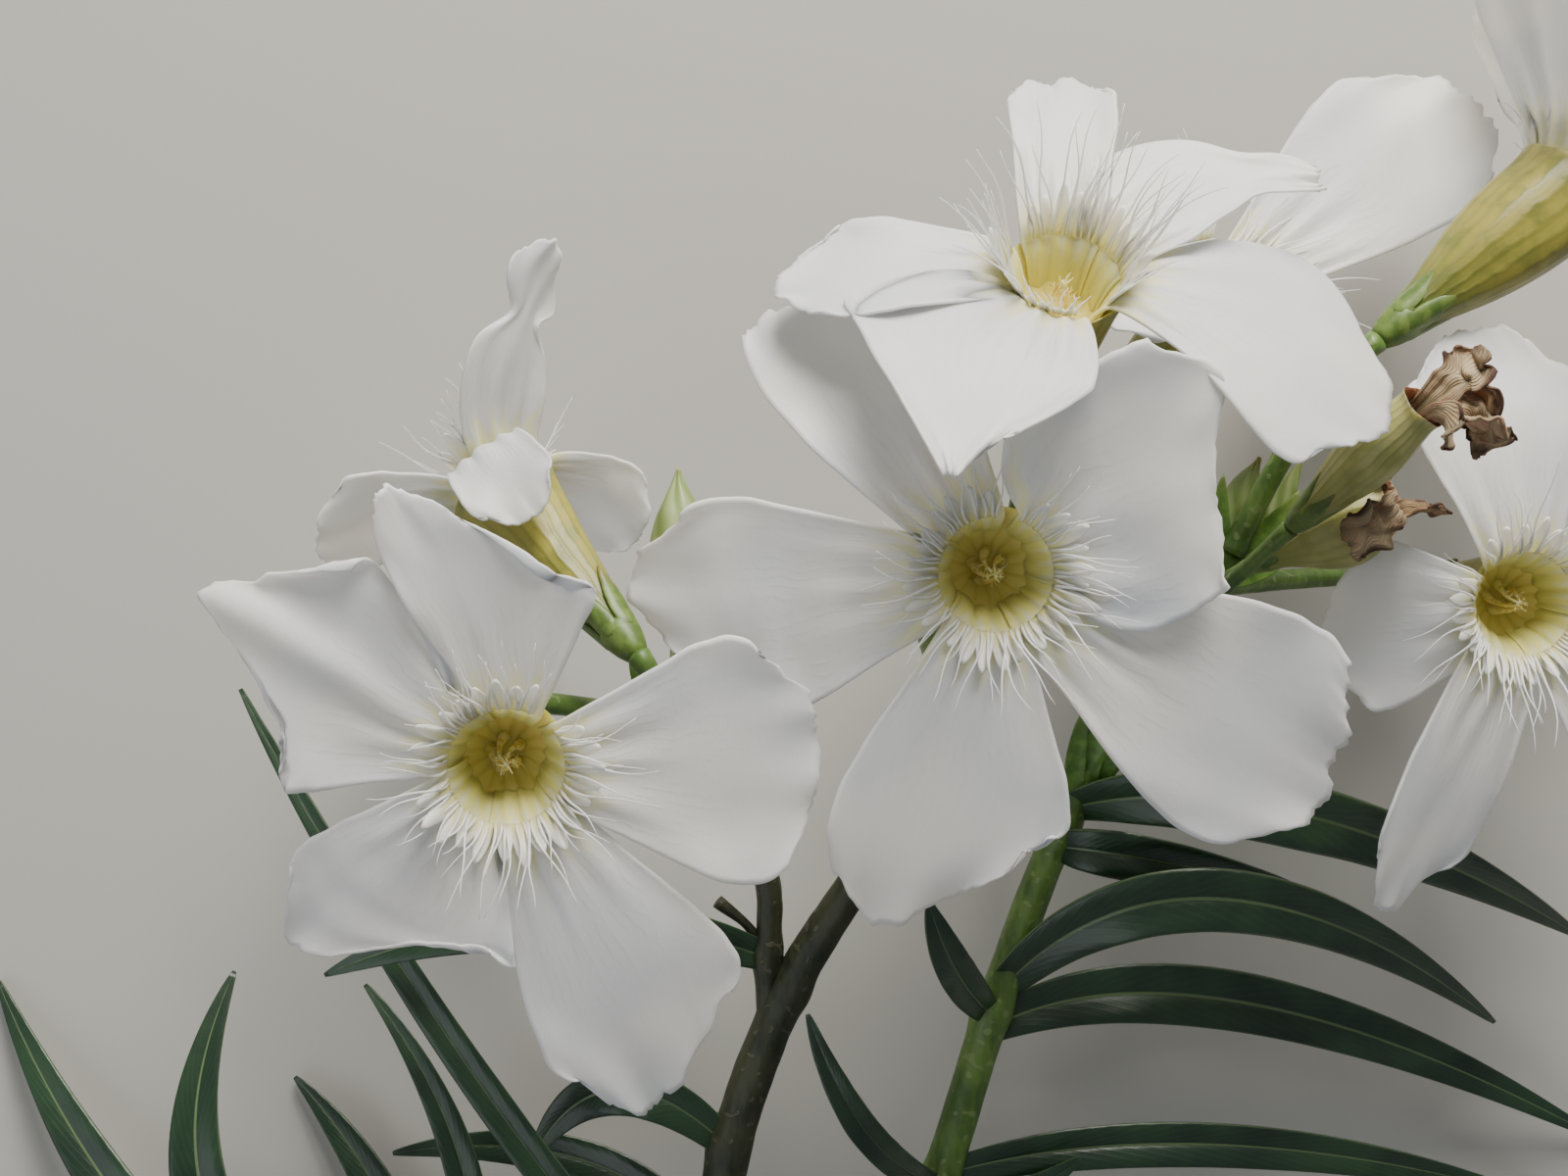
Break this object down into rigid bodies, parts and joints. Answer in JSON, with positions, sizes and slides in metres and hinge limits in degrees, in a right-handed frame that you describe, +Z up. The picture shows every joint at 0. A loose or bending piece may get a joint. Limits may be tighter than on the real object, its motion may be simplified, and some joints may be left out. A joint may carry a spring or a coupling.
{
  "type": "cut flowering oleander branch",
  "caption": "Cut flowering branch of a white single oleander, lying on its back: a forked leafy stem that bears open funnel-shaped blooms, buds and spent blooms.",
  "frame": {"origin": "middle of the bounding box, on the plane that the branch lies on", "axes": "+Z up, the way the blooms look; +Y from the cut end of the main stem to the flower heads; +X to the right seen from above"},
  "size_m": [0.1594, 0.177, 0.064],
  "materials": {
    "petal": "soft white petal",
    "calyx": "satin green",
    "green_stem": "satin green bark",
    "old_stem": "matt grey-green bark",
    "leaf": "leathery, half gloss",
    "bud": "satin pale green",
    "withered": "matt dry brown"
  },
  "bodies": {
    "root": {"bloom_back_left": "petal", "bloom_behind_top": "petal", "bloom_left": "petal", "bloom_middle": "petal", "bloom_right": "petal", "bloom_spent_lower": "withered", "bloom_spent_upper": "withered", "bloom_top": "petal", "bloom_top_right": "petal", "bud_left": "bud", "bud_middle": "bud", "bud_right_1": "bud", "bud_right_2": "bud", "calyx_back_left": "calyx", "calyx_behind_top": "calyx", "calyx_left": "calyx", "calyx_middle": "calyx", "calyx_right": "calyx", "calyx_spent_lower": "calyx", "calyx_spent_upper": "calyx", "calyx_top": "calyx", "calyx_top_right": "calyx", "head_left": "green_stem", "head_middle": "green_stem", "head_right": "green_stem", "leaf_left_1": "leaf", "leaf_left_2": "leaf", "leaf_left_3": "leaf", "leaf_left_4": "leaf", "leaf_low_1": "leaf", "leaf_low_2": "leaf", "leaf_low_3": "leaf", "leaf_low_4": "leaf", "leaf_low_5": "leaf", "leaf_main_1": "leaf", "leaf_main_2": "leaf", "leaf_right_1": "leaf", "leaf_right_2": "leaf", "leaf_right_3": "leaf", "leaf_right_4": "leaf", "leaf_right_5": "leaf", "leaf_right_6": "leaf", "leaf_right_7": "leaf", "leaf_right_8": "leaf", "pedicel_back_left": "green_stem", "pedicel_behind_top": "green_stem", "pedicel_left": "green_stem", "pedicel_middle": "green_stem", "pedicel_right": "green_stem", "pedicel_spent_lower": "green_stem", "pedicel_spent_upper": "green_stem", "pedicel_top": "green_stem", "pedicel_top_right": "green_stem", "side_shoot": "old_stem", "stem_leafy": "green_stem", "stem_left": "old_stem", "stem_main": "old_stem", "stem_right": "green_stem"}
  },
  "joints": []
}
